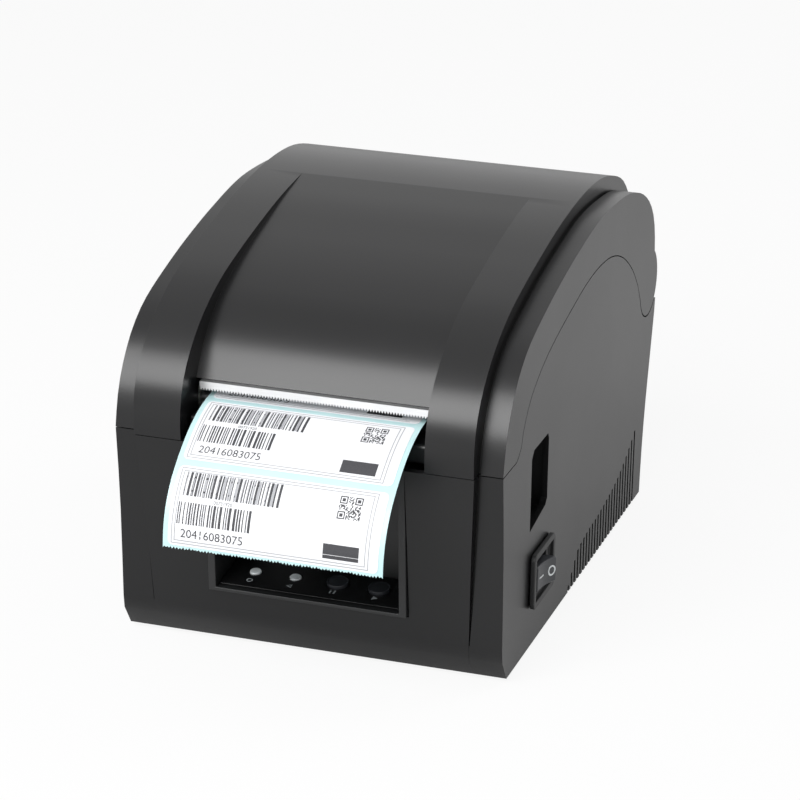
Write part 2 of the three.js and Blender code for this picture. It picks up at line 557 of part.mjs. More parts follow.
// ---- lid ----
const BAR_SCREWS = [-41, 41];
const BAR_SCREW_Y = 4.4;
function lidShell() {
  const cheek = smooth(CHEEK_LINE, 44);
  const shoulder = smooth(SHOULDER_LINE, 48);
  const panel = smooth(PANEL_LINE, 26);
  const hump = smooth(HUMP_LINE, 40);
  const lobe = arc(HINGE, LOBE_R, 52, -163, 26);
  const inner = CASE_HALF - WALL;
  let outer = solid(prismX([...cheek, ...lobe, ...hump.reverse(), [5, SEAM_Z]], -CASE_HALF, CASE_HALF));
  const crown = prismX([...shoulder, [200, 108], [190, SEAM_Z]], -SHOULDER_HALF, SHOULDER_HALF);
  const lowered = shifted(panel, WALL);
  const above = [[119, 170], [-40, 170], [-40, 70]];
  const sunk = solid(prismX([...panel, ...above, [-1, 70]], -PANEL_HALF, PANEL_HALF));
  const sunkInside = solid(prismX([...lowered, ...above, [lowered[0][0], 70]],
    -PANEL_HALF - WALL, PANEL_HALF + WALL));
  const barrel = arc(HINGE, LOBE_R - WALL, 50, -50, 12);
  const away = [[222, 76], [222, 50]];
  const cheekHollow = solid(prismX([
    ...shifted(cheek, WALL).slice(0, -1), ...barrel, ...away, [-9.3, 50],
  ], -inner, inner));
  const shoulderHollow = solid(prismX([
    ...shifted(shoulder, WALL).slice(0, -3), [190, 100], [190, 50], [-14.4, 50],
  ], -SHOULDER_HALF + WALL + 1.5, SHOULDER_HALF - WALL - 1.5));
  const hollow = cheekHollow.add(shoulderHollow).subtract(sunkInside);
  // A narrow groove follows the foot of each shoulder.
  const trough = [...shifted(cheek.slice(0, -4), GROOVE_DEPTH), [190, 170], [-40, 170], [-40, SEAM_Z - 1],
    [-10.2, SEAM_Z - 1]];
  SIDES.forEach(([, sign]) => {
    const [x0, x1] = span(sign, SHOULDER_HALF, SHOULDER_HALF + APRON_GAP[0]);
    outer = outer.subtract(solid(prismX(trough, x0, x1)));
  });
  let shell = outer.add(solid(crown)).subtract(sunk).subtract(hollow);
  shell = shell.subtract(solid(block(-PANEL_HALF, PANEL_HALF, -40, 12, 60, 103.2)));
  BAR_SCREWS.forEach((x) => {
    shell = shell.add(solid(block(x - 2.6, x + 2.6, 2.6, 7.2, 103.2, 107.4)));
    shell = shell.subtract(solid(rodZ(1.5, 100, 106, x, BAR_SCREW_Y, 12)));
  });
  SIDES.forEach(([, sign]) => {
    const [b0, b1] = span(sign, 66.4, CASE_HALF - 1);
    const [h0, h1] = span(sign, 60, 71.6);
    shell = shell.add(solid(rodX(6.6, b0, b1, HINGE, 24)));
    shell = shell.subtract(solid(rodX(2.8, h0, h1, HINGE, 16)));
  });
  return skin(shell);
}

fit('lid_shell', lidShell(), CASE_BLACK);

// ---- tear bar, head carrier and print head under the lid ----
const BAR_TEETH = 58;
function tearBar() {
  const half = 44.6;
  const outline = [[-half, 103.1], [-half, 100.6]];
  for (let i = 0; i < BAR_TEETH; i += 1) {
    const pitch = 2 * half / BAR_TEETH;
    outline.push([-half + (i + 0.5) * pitch, 99.6]);
    outline.push([-half + (i + 1) * pitch, 100.6]);
  }
  outline.push([half, 103.1]);
  const shape = new THREE.Shape(outline.map(([x, z]) => new THREE.Vector2(x, z)));
  const blade = new THREE.ExtrudeGeometry(shape, { depth: 0.8, bevelEnabled: false });
  blade.rotateX(Math.PI / 2).translate(0, -3, 0);
  return shaped([blade, block(-half, half, -3.8, 7, 102.1, 102.9)],
    BAR_SCREWS.map((x) => rodZ(1.5, 100, 104, x, BAR_SCREW_Y, 10)));
}

fit('tear_bar', tearBar(), STEEL);
BAR_SCREWS.forEach((x, i) => {
  const screw = [[0, 100.6], [2.6, 100.6], [2.6, 101.8], [1.2, 101.8], [1.2, 105.4], [0, 105.4]];
  const turned = new THREE.LatheGeometry(screw.map(([r, h]) => new THREE.Vector2(r, h)), 12);
  fit(`tear_bar_screw_${i + 1}`, turned.rotateX(Math.PI / 2).translate(x, BAR_SCREW_Y, 0), STEEL);
});

const carrier = [[9, 110.4], [10.2, 110.4], [11, 111.6], [32, 111.6], [32, 113], [10.4, 113], [9, 111.8]];
fit('head_carrier', shaped([
  prismX(carrier, -50, 50),
  block(-50, -48.6, 16, 32, 111.8, 118),
  block(48.6, 50, 16, 32, 111.8, 118),
]), ZINC);
fit('head_heatsink', shaped([
  block(-46, 46, 8, 30, 101.6, 104.6),
  block(-46, 46, 26, 28, 104, 107.6),
  block(-46, 46, 21, 23, 104, 107.6),
]), ALUMINIUM);
fit('print_head', prismX([[8.4, 101.2], [8.4, 100], [12, 99.1], [16, 99.1], [24, 100], [24, 101.2]], -44, 44),
  INNER_BLACK);

// Two compression springs press the head down on the platen.
class Coil extends THREE.Curve {
  constructor(x, y, z0, z1) {
    super();
    Object.assign(this, { x, y, z0, z1 });
  }

  getPoint(t, target = new THREE.Vector3()) {
    const turn = t * 3.5 * 2 * Math.PI;
    return target.set(this.x + 2.6 * Math.cos(turn), this.y + 2.6 * Math.sin(turn),
      this.z0 + (this.z1 - this.z0) * t);
  }
}

const wire = new THREE.Shape(Array.from({ length: 5 }, (_, i) =>
  new THREE.Vector2(0.35 * Math.cos(i * 2 * Math.PI / 5), 0.35 * Math.sin(i * 2 * Math.PI / 5))));
[-26, 26].forEach((x, i) => {
  const coil = new THREE.ExtrudeGeometry(wire, {
    steps: 36, bevelEnabled: false, extrudePath: new Coil(x, 16, 105.3, 110.9),
  });
  fit(`head_spring_${i + 1}`, coil, STEEL);
});

const printer = new THREE.Group();
printer.add(machine);
export default printer;
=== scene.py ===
import json
import math
import random

import bpy
from mathutils import Matrix, Vector


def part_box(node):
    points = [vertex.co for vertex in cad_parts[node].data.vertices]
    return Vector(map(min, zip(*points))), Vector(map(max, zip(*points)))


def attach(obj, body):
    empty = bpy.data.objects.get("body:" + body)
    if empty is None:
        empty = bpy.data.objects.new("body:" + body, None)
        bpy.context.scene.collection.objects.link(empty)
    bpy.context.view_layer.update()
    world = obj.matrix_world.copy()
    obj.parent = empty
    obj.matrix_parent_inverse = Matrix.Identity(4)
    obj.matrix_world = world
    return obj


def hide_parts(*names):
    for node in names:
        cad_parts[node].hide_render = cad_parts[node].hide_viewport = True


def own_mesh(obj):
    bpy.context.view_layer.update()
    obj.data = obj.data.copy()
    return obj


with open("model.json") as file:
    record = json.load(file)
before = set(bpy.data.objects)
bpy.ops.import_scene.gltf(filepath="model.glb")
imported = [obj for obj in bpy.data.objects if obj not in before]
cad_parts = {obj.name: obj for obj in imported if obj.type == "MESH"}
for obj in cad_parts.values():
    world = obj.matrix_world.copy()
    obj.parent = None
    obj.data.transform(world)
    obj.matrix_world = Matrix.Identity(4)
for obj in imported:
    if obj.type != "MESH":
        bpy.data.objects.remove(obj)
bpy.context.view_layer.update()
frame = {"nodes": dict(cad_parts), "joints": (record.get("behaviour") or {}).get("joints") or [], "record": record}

MM = 0.001


# ---- Camera ----
# A long lens looks at the printer from the front right, a little above the lid,
# and leans by under a degree.
yaw, pitch, roll = (math.radians(a) for a in (17.965, 20.242, 0.931))
forward = Vector((-math.sin(yaw) * math.cos(pitch), math.cos(yaw) * math.cos(pitch), -math.sin(pitch)))
level = Vector((math.cos(yaw), math.sin(yaw), 0))
upward = level.cross(forward)
right = level * math.cos(roll) + upward * math.sin(roll)
up = upward * math.cos(roll) - level * math.sin(roll)
camera = bpy.data.objects.new("camera", bpy.data.cameras.new("camera"))
bpy.context.scene.collection.objects.link(camera)
camera.matrix_world = Matrix((
    (right.x, up.x, -forward.x, 365.65 * MM),
    (right.y, up.y, -forward.y, -1121.32 * MM),
    (right.z, up.z, -forward.z, 508.78 * MM),
    (0, 0, 0, 1)))
camera.data.sensor_width = 36
camera.data.lens = 144.5
camera.data.clip_end = 20
bpy.context.scene.camera = camera


# ---- Lid ----
# One injection moulding in black ABS with a fine spark-eroded grain: two low cheeks, two
# raised shoulders and a sunk panel between them. Its edges are softened like the mould's.
bodies = frame["record"]["behaviour"]["bodies"]
body_of = {node: body for body, nodes in bodies.items() for node in nodes}


def linear(code):
    """An sRGB hex colour as the linear colour that shaders take."""
    parts = [int(code[i:i + 2], 16) / 255 for i in (1, 3, 5)]
    return [c / 12.92 if c <= 0.04045 else ((c + 0.055) / 1.055) ** 2.4 for c in parts] + [1]


def add(material, kind, settings=(), **inputs):
    """Adds a node; a (node, socket) pair as an input is a link, anything else its value."""
    node = material.node_tree.nodes.new(kind)
    for name, value in dict(settings).items():
        setattr(node, name, value)
    for name, value in inputs.items():
        socket = node.inputs[int(name[1:]) if name[1:].isdigit() else name.replace("_", " ")]
        if isinstance(value, tuple) and isinstance(value[0], bpy.types.Node):
            source, output = value
            material.node_tree.links.new(source.outputs[output], socket)
        else:
            socket.default_value = value
    return node


def new_material(name):
    material = bpy.data.materials.new(name)
    material.use_nodes = True
    material.node_tree.nodes.clear()
    return material


def select_only(piece):
    bpy.ops.object.select_all(action="DESELECT")
    piece.select_set(True)
    bpy.context.view_layer.objects.active = piece


def soften(piece, width, segments=2, angle=32):
    """Rounds the sharp edges of a piece and shades the rest smooth."""
    select_only(piece)
    edge = piece.modifiers.new("edges", "BEVEL")
    edge.width = width * MM
    edge.segments = segments
    edge.limit_method = "ANGLE"
    edge.angle_limit = math.radians(angle)
    edge.use_clamp_overlap = True
    bpy.ops.object.modifier_apply(modifier=edge.name)
    bpy.ops.object.shade_smooth_by_angle(angle=math.radians(angle + 6))
    even = piece.modifiers.new("even", "WEIGHTED_NORMAL")
    even.keep_sharp = True
    bpy.ops.object.modifier_apply(modifier=even.name)


def fine_copy(node, name, material, width=0.4, segments=2, angle=32):
    """A piece of its own on the shape of a frame node: merged, with its edges rounded."""
    piece = bpy.data.objects.new(name, frame["nodes"][node].data.copy())
    bpy.context.scene.collection.objects.link(piece)
    select_only(piece)
    bpy.ops.object.mode_set(mode="EDIT")
    bpy.ops.mesh.select_all(action="SELECT")
    bpy.ops.mesh.remove_doubles(threshold=0.002 * MM)
    bpy.ops.mesh.dissolve_limited(angle_limit=math.radians(0.4))
    bpy.ops.object.mode_set(mode="OBJECT")
    if width:
        soften(piece, width, segments, angle)
    else:
        bpy.ops.object.shade_smooth_by_angle(angle=math.radians(angle))
    piece.data.materials.clear()
    piece.data.materials.append(material)
    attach(piece, body_of[node])
    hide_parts(node)
    return piece


# ABS, injection moulded against a spark-eroded tool: black, satin, with a sheen that
# opens up at a flat angle. Grain about 0.4 mm, drawn at 0.7 mm so that it shows.
case_abs = new_material("abs_spark_grain_black")
where = add(case_abs, "ShaderNodeTexCoord")
cloud = add(case_abs, "ShaderNodeTexNoise", Vector=(where, "Object"), Scale=22.0, Detail=3.0)
tint = add(case_abs, "ShaderNodeValToRGB", Fac=(cloud, "Fac"))
tint.color_ramp.elements[0].color = linear("#0e0e0f")
tint.color_ramp.elements[1].color = linear("#131314")
grain = add(case_abs, "ShaderNodeTexNoise", Vector=(where, "Object"), Scale=1 / (0.7 * MM), Detail=2.0)
bump = add(case_abs, "ShaderNodeBump", Height=(grain, "Fac"), Strength=0.22, Distance=0.06 * MM)
haze = add(case_abs, "ShaderNodeMapRange", Value=(cloud, "Fac"), To_Min=0.28, To_Max=0.33)
shell = add(case_abs, "ShaderNodeBsdfPrincipled", Base_Color=(tint, "Color"), Roughness=(haze, "Result"),
            Normal=(bump, "Normal"), IOR=1.42)
add(case_abs, "ShaderNodeOutputMaterial", Surface=(shell, "BSDF"))

fine_copy("lid_shell", "lid_cover", case_abs, width=0.5, segments=3, angle=38)


# ---- Lower case ----
# The same ABS: front apron with the window, corner posts, side humps under the lid, vents.
# The window lip, key ledge and exit lip are separate mouldings clipped in.
fine_copy("base_shell", "case_body", case_abs, width=0.5, segments=2, angle=38)
fine_copy("exit_lip", "exit_lip_moulding", case_abs, width=0.8, segments=3)

# Plain moulded ABS for what lies inside: darker and a little smoother than the skin.
inner_abs = new_material("abs_plain_black")
where = add(inner_abs, "ShaderNodeTexCoord")
cloud = add(inner_abs, "ShaderNodeTexNoise", Vector=(where, "Object"), Scale=60.0, Detail=4.0)
haze = add(inner_abs, "ShaderNodeMapRange", Value=(cloud, "Fac"), To_Min=0.42, To_Max=0.58)
flow = add(inner_abs, "ShaderNodeBump", Height=(cloud, "Fac"), Strength=0.1, Distance=0.2 * MM)
shell = add(inner_abs, "ShaderNodeBsdfPrincipled", Base_Color=linear("#101112"),
            Roughness=(haze, "Result"), Normal=(flow, "Normal"), IOR=1.54)
add(inner_abs, "ShaderNodeOutputMaterial", Surface=(shell, "BSDF"))

for node in ("bottom_plate", "window_pocket", "label_guide", "media_tray", "lever_bay"):
    fine_copy(node, node + "_moulding", inner_abs, width=0.4)
fine_copy("gap_sensor", "gap_sensor_block", inner_abs, width=0.3)
fine_copy("power_inlet", "power_inlet_body", inner_abs, width=0.3)
fine_copy("switch_housing", "switch_frame", inner_abs, width=0.5, segments=3)


# ---- Key ledge ----
# A sloping moulding with two milky lamps and two round keys, with printed signs in front.
fine_copy("key_ledge", "key_ledge_moulding", case_abs, width=0.35)

# Dark grey ABS, polished tool: keys, rocker, lever and roll holders.
key_abs = new_material("abs_smooth_grey")
where = add(key_abs, "ShaderNodeTexCoord")
cloud = add(key_abs, "ShaderNodeTexNoise", Vector=(where, "Object"), Scale=180.0, Detail=3.0)
haze = add(key_abs, "ShaderNodeMapRange", Value=(cloud, "Fac"), To_Min=0.30, To_Max=0.42)
shell = add(key_abs, "ShaderNodeBsdfPrincipled", Base_Color=linear("#2c2e32"),
            Roughness=(haze, "Result"), IOR=1.54)
add(key_abs, "ShaderNodeOutputMaterial", Surface=(shell, "BSDF"))

# Milky polycarbonate lens over a lamp that is off.
lens_white = new_material("polycarbonate_milky")
where = add(lens_white, "ShaderNodeTexCoord")
cloud = add(lens_white, "ShaderNodeTexNoise", Vector=(where, "Object"), Scale=400.0)
tint = add(lens_white, "ShaderNodeValToRGB", Fac=(cloud, "Fac"))
tint.color_ramp.elements[0].color = linear("#c3c8ca")
tint.color_ramp.elements[1].color = linear("#dde1e2")
shell = add(lens_white, "ShaderNodeBsdfPrincipled", Base_Color=(tint, "Color"), Roughness=0.22, IOR=1.58,
            Coat_Weight=0.3)
add(lens_white, "ShaderNodeOutputMaterial", Surface=(shell, "BSDF"))

# Pad-printed pale grey ink for the signs.
sign_ink = new_material("pad_print_grey")
where = add(sign_ink, "ShaderNodeTexCoord")
cloud = add(sign_ink, "ShaderNodeTexNoise", Vector=(where, "Object"), Scale=900.0)
tint = add(sign_ink, "ShaderNodeValToRGB", Fac=(cloud, "Fac"))
tint.color_ramp.elements[0].color = linear("#7f8487")
tint.color_ramp.elements[1].color = linear("#a9adaf")
shell = add(sign_ink, "ShaderNodeBsdfPrincipled", Base_Color=(tint, "Color"), Roughness=0.6)
add(sign_ink, "ShaderNodeOutputMaterial", Surface=(shell, "BSDF"))

for node, name in (("ready_lamp", "ready_lens"), ("error_lamp", "error_lens")):
    fine_copy(node, name, lens_white, width=0.45, segments=4)

LEDGE_SLOPE = 0.13
ledge_tilt = math.atan(LEDGE_SLOPE)
ledge_normal = Vector((0, -math.sin(ledge_tilt), math.cos(ledge_tilt)))
for node, name in (("pause_button", "pause_key_cap"), ("feed_button", "feed_key_cap")):
    cap = fine_copy(node, name, key_abs, width=0)
    select_only(cap)
    # The finger dish: an inset ring, sunk by a third of a millimetre.
    bpy.ops.object.mode_set(mode="EDIT")
    bpy.ops.mesh.select_all(action="DESELECT")
    bpy.ops.object.mode_set(mode="OBJECT")
    for face in cap.data.polygons:
        face.select = face.normal.dot(ledge_normal) > 0.99
    bpy.ops.object.mode_set(mode="EDIT")
    bpy.ops.mesh.inset(thickness=0.7 * MM)
    bpy.ops.transform.translate(value=ledge_normal * -0.35 * MM)
    bpy.ops.mesh.inset(thickness=0.5 * MM)
    bpy.ops.object.mode_set(mode="OBJECT")
    soften(cap, 0.3, 3, 30)

sign_boxes = [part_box(n) for n in ("ready_lamp", "error_lamp", "pause_button", "feed_button")]
SIGN_AHEAD = 6.6 * MM
ledge_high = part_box("key_ledge")[1]
sign_spots = []
for low, high in sign_boxes:
    spot = (Vector(low) + Vector(high)) / 2
    front = spot.y - SIGN_AHEAD
    rise = ledge_high[2] - (ledge_high[1] - front) * LEDGE_SLOPE
    sign_spots.append(Vector((spot.x, front, rise + 0.04 * MM)))


def plate(name, spots, sides=4, ring=0.0):
    """Flat marks, each (centre, width, length, turn), as one thin mesh in the z plane."""
    bpy.ops.object.select_all(action="DESELECT")
    parts = []
    for centre, width, length, turn in spots:
        if sides == 4:
            bpy.ops.mesh.primitive_plane_add(size=1)
        else:
            bpy.ops.mesh.primitive_circle_add(vertices=sides, radius=0.5, fill_type="NGON")
        part = bpy.context.object
        part.data.transform(Matrix.Diagonal((width, length, 1, 1)))
        part.data.transform(Matrix.Translation(centre) @ Matrix.Rotation(turn, 4, "Z"))
        if ring:
            bpy.ops.object.mode_set(mode="EDIT")
            bpy.ops.mesh.select_all(action="SELECT")
            bpy.ops.mesh.inset(thickness=ring)
            bpy.ops.mesh.delete(type="FACE")
            bpy.ops.object.mode_set(mode="OBJECT")
        parts.append(part)
    for part in parts:
        part.select_set(True)
    bpy.context.view_layer.objects.active = parts[0]
    if len(parts) > 1:
        bpy.ops.object.join()
    piece = bpy.context.object
    piece.name = name
    return piece


def thicken(piece, depth):
    """Gives flat marks a thin body, so that they are closed."""
    select_only(piece)
    film = piece.modifiers.new("film", "SOLIDIFY")
    film.thickness = depth
    film.offset = 0
    bpy.ops.object.modifier_apply(modifier=film.name)


flat = Vector((0, 0, 0))
ready = plate("ready_sign", [(flat, 2.4 * MM, 2.4 * MM, 0)], sides=24, ring=0.35 * MM)
alarm = plate("error_sign", [(flat, 2.9 * MM, 2.9 * MM, math.radians(90))], sides=3, ring=0.35 * MM)
pause = plate("pause_sign", [(Vector((-0.8 * MM, 0, 0)), 0.6 * MM, 2.3 * MM, 0),
                             (Vector((0.8 * MM, 0, 0)), 0.6 * MM, 2.3 * MM, 0)])
feed = plate("feed_sign", [(flat, 2.8 * MM, 2.8 * MM, math.radians(-90))], sides=3)
for sign, spot in zip((ready, alarm, pause, feed), sign_spots):
    sign.data.transform(Matrix.Translation(spot) @ Matrix.Rotation(ledge_tilt, 4, "X"))
    thicken(sign, 0.04 * MM)
    sign.data.materials.append(sign_ink)
    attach(sign, "base")


# ---- Power rocker and release lever ----
# The rocker is a smooth paddle with a bar for on and a ring for off. The lever's tab sits
# in its bay; it turns with the latch shaft.
fine_copy("power_rocker", "rocker_paddle", key_abs, width=0.7, segments=3, angle=20)
fine_copy("release_lever", "lever_arm", key_abs, width=0.6, segments=3)

pivot = next(Vector(j["pos_m"]) for j in frame["joints"] if j["name"] == "power_rocker_turn")
half_throw = math.radians(13.8)
PADDLE_HALF = 7.1 * MM
TROUGH_DEPTH = 1.1 * MM
for name, along, ring, size in (("off_ring", 4.4, 0.65, 4.2), ("on_bar", -3, 0, 3.8)):
    if ring:
        mark = plate(name, [(flat, size * MM, size * MM, 0)], sides=40, ring=ring * MM)
    else:
        mark = plate(name, [(flat, size * MM, 0.6 * MM, 0)])
    # The paddle's face is a trough: 6.9 mm from the pivot in the middle, 8 mm at its ends.
    for vertex in mark.data.vertices:
        y = along * MM + vertex.co.x
        vertex.co = Vector((6.96 * MM + TROUGH_DEPTH * (y / PADDLE_HALF) ** 2, y, vertex.co.y))
    mark.data.transform(Matrix.Translation(pivot) @ Matrix.Rotation(-half_throw, 4, "Z"))
    thicken(mark, 0.05 * MM)
    mark.data.materials.append(lens_white)
    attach(mark, "rocker")


# ---- Tear bar ----
# Ground spring steel, 0.6 mm, with a fine saw edge; its fixing flange runs back under the lid.
steel = new_material("steel_ground")
where = add(steel, "ShaderNodeTexCoord")
streak = add(steel, "ShaderNodeMapping", Vector=(where, "Object"), Scale=(60.0, 2500.0, 2500.0))
lines = add(steel, "ShaderNodeTexNoise", Vector=(streak, "Vector"), Scale=1.0, Detail=2.0)
haze = add(steel, "ShaderNodeMapRange", Value=(lines, "Fac"), To_Min=0.24, To_Max=0.40)
score = add(steel, "ShaderNodeBump", Height=(lines, "Fac"), Strength=0.15, Distance=0.02 * MM)
shell = add(steel, "ShaderNodeBsdfPrincipled", Base_Color=linear("#eff0f1"), Metallic=1.0,
            Roughness=(haze, "Result"), Normal=(score, "Normal"))
add(steel, "ShaderNodeOutputMaterial", Surface=(shell, "BSDF"))

bar_low, bar_high = (Vector(c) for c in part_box("tear_bar"))
bar_width = bar_high.x - bar_low.x
TOOTH_PITCH = 1.1 * MM
BAR_TEETH = round(bar_width / TOOTH_PITCH)
bpy.ops.mesh.primitive_plane_add(size=1)
bar = bpy.context.object
bar.name = "tear_bar_blade"
bpy.ops.object.mode_set(mode="EDIT")
bpy.ops.mesh.select_all(action="SELECT")
bpy.ops.mesh.delete(type="VERT")
bpy.ops.mesh.primitive_grid_add(x_subdivisions=2 * BAR_TEETH, y_subdivisions=2, size=1)
bpy.ops.object.mode_set(mode="OBJECT")
for vertex in bar.data.vertices:
    column = round((vertex.co.x + 0.5) * 2 * BAR_TEETH)
    row = round((vertex.co.y + 0.5) * 2)
    x = bar_low.x + (vertex.co.x + 0.5) * bar_width
    heights = [bar_low.z + (1.15 * MM if column % 2 == 0 else 0), bar_low.z + 1.5 * MM, bar_high.z]
    vertex.co = Vector((x, bar_low.y, heights[row]))
select_only(bar)
# The flange: the top edge is drawn back under the lid, then everything gets its thickness.
bpy.ops.object.mode_set(mode="EDIT")
bpy.ops.mesh.select_all(action="DESELECT")
bpy.ops.mesh.select_mode(type="VERT")
bpy.ops.object.mode_set(mode="OBJECT")
for vertex in bar.data.vertices:
    vertex.select = vertex.co.z > bar_high.z - 0.01 * MM
bpy.ops.object.mode_set(mode="EDIT")
bpy.ops.mesh.extrude_region_move(TRANSFORM_OT_translate={"value": (0, bar_high.y - bar_low.y, 0)})
bpy.ops.mesh.select_all(action="SELECT")
bpy.ops.mesh.normals_make_consistent(inside=False)
bpy.ops.object.mode_set(mode="OBJECT")
sheet_metal = bar.modifiers.new("gauge", "SOLIDIFY")
sheet_metal.thickness = 0.6 * MM
sheet_metal.offset = 1 if bar.data.polygons[0].normal.y > 0 else -1
bpy.ops.object.modifier_apply(modifier=sheet_metal.name)
bar.data.materials.append(steel)
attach(bar, "lid")
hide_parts("tear_bar")
for i in (1, 2):
    fine_copy(f"tear_bar_screw_{i}", f"tear_bar_screw_head_{i}", steel, width=0.25)


# ---- Label strip ----
# Die-cut thermal labels on a pale blue-green glassine liner. The strip comes off the roll,
# runs over the guide and the platen, leaves under the tear bar and hangs down in a curl.
base_low, base_high = (Vector(c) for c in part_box("base_shell"))
APRON_PROUD = 16.5 * MM
case_zero = Vector(((base_low.x + base_high.x) / 2, base_low.y + APRON_PROUD, base_low.z))
STRIP_LINE = [
    (-47.4, 54.4), (-46.9, 60.5), (-45.4, 66.6), (-42.8, 72), (-39.2, 77), (-34.5, 81.6), (-28.6, 86.2),
    (-22, 90.4), (-14.5, 93.9), (-6.5, 96.2), (2, 97.4), (9, 98.3), (14, 98.55), (27, 97.6), (38, 96.3),
]
roll_low, roll_high = (Vector(c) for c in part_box("label_roll"))
roll_axis = (roll_low + roll_high) / 2
roll_radius = (roll_high.z - roll_low.z) / 2


def curve_through(points, steps):
    """Points on a smooth run through the given ones, steps to each span."""
    line = []
    for i in range(len(points) - 1):
        before = points[max(i - 1, 0)]
        a, b = points[i], points[i + 1]
        after = points[min(i + 2, len(points) - 1)]
        for k in range(steps):
            t = k / steps
            out = (b - before) / 2
            into = (after - a) / 2
            line.append(a * (2 * t ** 3 - 3 * t ** 2 + 1) + out * (t ** 3 - 2 * t ** 2 + t)
                        + b * (3 * t ** 2 - 2 * t ** 3) + into * (t ** 3 - t ** 2))
    line.append(points[-1])
    return line


strip_points = [Vector((case_zero.y + y * MM, case_zero.z + z * MM)) for y, z in STRIP_LINE]
last = strip_points[-1]
to_axis = Vector((roll_axis.y, roll_axis.z)) - last
off_roll = roll_radius + 0.4 * MM
rise = math.atan2(to_axis.y, to_axis.x) + math.asin(off_roll / to_axis.length)
tangent = math.sqrt(to_axis.length ** 2 - off_roll ** 2)
climb = Vector((math.cos(rise), math.sin(rise)))
strip_points.append(last + climb * tangent * 0.3)
strip_run = curve_through(strip_points, 16)
strip_run += [last + climb * tangent * (0.3 + 0.7 * i / 24) for i in range(1, 25)]
strip_reach = [0.0]
for a, b in zip(strip_run, strip_run[1:]):
    strip_reach.append(strip_reach[-1] + (b - a).length)
strip_length = strip_reach[-1]


def on_strip(x, s, height):
    """A point on the strip: across, along from the torn end, and above its face."""
    s = min(max(s, 0), strip_length)
    i = next((k for k in range(1, len(strip_reach)) if strip_reach[k] >= s), len(strip_reach) - 1)
    share = (s - strip_reach[i - 1]) / (strip_reach[i] - strip_reach[i - 1])
    point = strip_run[i - 1].lerp(strip_run[i], share)
    ahead = strip_run[min(i + 1, len(strip_run) - 1)] - strip_run[max(i - 2, 0)]
    ahead.normalize()
    return Vector((case_zero.x + x, point.x - ahead.y * height, point.y + ahead.x * height))


def lay_on_strip(piece):
    for vertex in piece.data.vertices:
        vertex.co = on_strip(*vertex.co)
    piece.data.update()


LINER_HALF = 41.9 * MM
LABEL_HALF = 40 * MM
LABEL_PITCH = 32.6 * MM
LABEL_LENGTH = 30 * MM
FIRST_LABEL = 1.5 * MM

# Glassine, calendered: pale blue-green, slightly glossy.
liner_paper = new_material("glassine_blue_green")
where = add(liner_paper, "ShaderNodeTexCoord")
cloud = add(liner_paper, "ShaderNodeTexNoise", Vector=(where, "Object"), Scale=120.0, Detail=4.0)
tint = add(liner_paper, "ShaderNodeValToRGB", Fac=(cloud, "Fac"))
tint.color_ramp.elements[0].color = linear("#a9c9cc")
tint.color_ramp.elements[1].color = linear("#b7d3d4")
shell = add(liner_paper, "ShaderNodeBsdfPrincipled", Base_Color=(tint, "Color"), Roughness=0.42)
add(liner_paper, "ShaderNodeOutputMaterial", Surface=(shell, "BSDF"))

# Coated thermal paper: white, matt, with the faintest fibre.
label_paper = new_material("thermal_paper_white")
where = add(label_paper, "ShaderNodeTexCoord")
cloud = add(label_paper, "ShaderNodeTexNoise", Vector=(where, "Object"), Scale=700.0, Detail=5.0)
tint = add(label_paper, "ShaderNodeValToRGB", Fac=(cloud, "Fac"))
tint.color_ramp.elements[0].color = linear("#d3d4d7")
tint.color_ramp.elements[1].color = linear("#dcdde0")
shell = add(label_paper, "ShaderNodeBsdfPrincipled", Base_Color=(tint, "Color"), Roughness=0.6)
add(label_paper, "ShaderNodeOutputMaterial", Surface=(shell, "BSDF"))

# Thermal print: not quite black, matt, a little uneven like printed dots.
print_black = new_material("thermal_print_black")
print_grey = new_material("thermal_print_grey")
for ink, dark, light in ((print_black, "#26262a", "#3c3c40"), (print_grey, "#8f9094", "#a5a6aa")):
    where = add(ink, "ShaderNodeTexCoord")
    cloud = add(ink, "ShaderNodeTexNoise", Vector=(where, "Object"), Scale=2500.0)
    tint = add(ink, "ShaderNodeValToRGB", Fac=(cloud, "Fac"))
    tint.color_ramp.elements[0].color = linear(dark)
    tint.color_ramp.elements[1].color = linear(light)
    shell = add(ink, "ShaderNodeBsdfPrincipled", Base_Color=(tint, "Color"), Roughness=0.65)
    add(ink, "ShaderNodeOutputMaterial", Surface=(shell, "BSDF"))

bpy.ops.object.select_all(action="DESELECT")
bpy.ops.mesh.primitive_grid_add(x_subdivisions=138, y_subdivisions=150, size=1)
liner = bpy.context.object
liner.name = "label_liner"
random.seed(7)
torn = [random.uniform(0.1, 0.6) * MM if i % 2 else random.uniform(-0.5, -0.1) * MM for i in range(139)]
for vertex in liner.data.vertices:
    column = round((vertex.co.x + 0.5) * 138)
    x = vertex.co.x * 2 * LINER_HALF
    s = (vertex.co.y + 0.5) * strip_length
    if vertex.co.y < -0.499:
        s = 0.5 * MM + torn[column]
    vertex.co = (x, s, 0)
lay_on_strip(liner)
select_only(liner)
film = liner.modifiers.new("film", "SOLIDIFY")
film.thickness = 0.07 * MM
bpy.ops.object.modifier_apply(modifier=film.name)
bpy.ops.object.shade_smooth_by_angle(angle=math.radians(40))
liner.data.materials.append(liner_paper)


